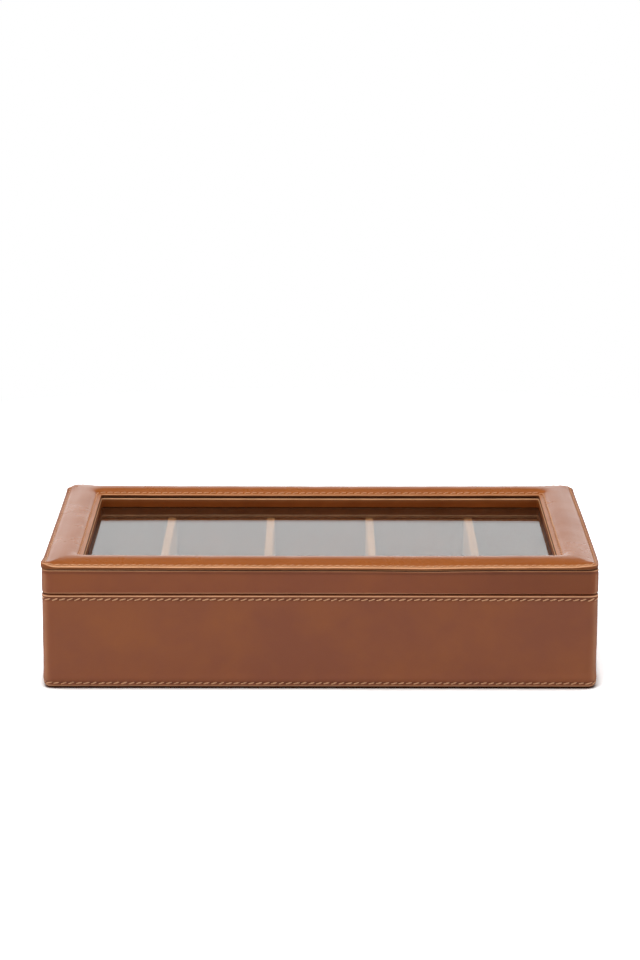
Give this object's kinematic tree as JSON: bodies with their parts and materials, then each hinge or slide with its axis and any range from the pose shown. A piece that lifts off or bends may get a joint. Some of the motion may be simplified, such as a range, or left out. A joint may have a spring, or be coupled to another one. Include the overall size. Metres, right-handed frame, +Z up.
{
  "type": "eyewear organizer case",
  "caption": "Tan leather box with a hinged lid, which is a padded frame round a glass window, over long divided compartments that each hold a pair of glasses.",
  "frame": {"origin": "on the ground, under the middle of the base (the hinge barrels stand out behind it)", "axes": "+X along the length, -Y towards the front, +Z up; the lid is shut"},
  "size_m": [0.3504, 0.2136, 0.0832],
  "materials": {
    "base_leather": "smooth tan leather, slightly mottled, low sheen",
    "rim_leather": "smooth tan leather strip",
    "lid_leather": "smooth tan leather, slightly mottled, low sheen",
    "reveal_leather": "smooth tan leather",
    "lip_leather": "tan leather with a burnished edge",
    "cover_leather": "soft tan leather over padding, fine grain",
    "lining_suede": "tan microsuede",
    "divider_suede": "tan microsuede",
    "pad_suede": "tan microsuede over thin padding",
    "bead_suede": "dark brown suede over wood",
    "bottom_suede": "dark brown suede",
    "board": "plain fibre board",
    "card": "grey board",
    "foam": "closed-cell foam",
    "glass": "clear float glass, polished",
    "hinge_brass": "brushed, lacquered",
    "hinge_pin": "polished",
    "screw_brass": "turned, slotted"
  },
  "bodies": {
    "case": {"base_leather": "base_leather", "bottom_board": "board", "bottom_pad": "bottom_suede", "divider_board_1": "board", "divider_board_2": "board", "divider_board_3": "board", "divider_board_4": "board", "divider_cover_1": "divider_suede", "divider_cover_2": "divider_suede", "divider_cover_3": "divider_suede", "divider_cover_4": "divider_suede", "filler_card": "card", "floor_pad_1": "pad_suede", "floor_pad_2": "pad_suede", "floor_pad_3": "pad_suede", "floor_pad_4": "pad_suede", "floor_pad_5": "pad_suede", "hinge_base_leaf_left": "hinge_brass", "hinge_base_leaf_right": "hinge_brass", "hinge_pin_left": "hinge_pin", "hinge_pin_right": "hinge_pin", "hinge_screws_base": "screw_brass", "lining_back": "lining_suede", "lining_front": "lining_suede", "lining_left": "lining_suede", "lining_right": "lining_suede", "rim_binding": "rim_leather", "wall_back": "board", "wall_front": "board", "wall_left": "board", "wall_right": "board"},
    "lid": {"backing_ring": "card", "bead_back": "bead_suede", "bead_front": "bead_suede", "bead_left": "bead_suede", "bead_right": "bead_suede", "glass_pane": "glass", "hinge_lid_leaf_left": "hinge_brass", "hinge_lid_leaf_right": "hinge_brass", "hinge_screws_lid": "screw_brass", "lid_lining": "lining_suede", "lid_lip": "lip_leather", "lid_side_band": "lid_leather", "pad_foam": "foam", "padded_cover": "cover_leather", "rail_back": "board", "rail_front": "board", "rail_left": "board", "rail_right": "board", "reveal_band": "reveal_leather"}
  },
  "joints": [
    {"name": "lid_hinge", "type": "hinge", "parent": "case", "child": "lid", "pos_m": [0, 0.1065, 0.0615], "axis": [-1, 0, 0], "range_deg": [0, 100]}
  ]
}
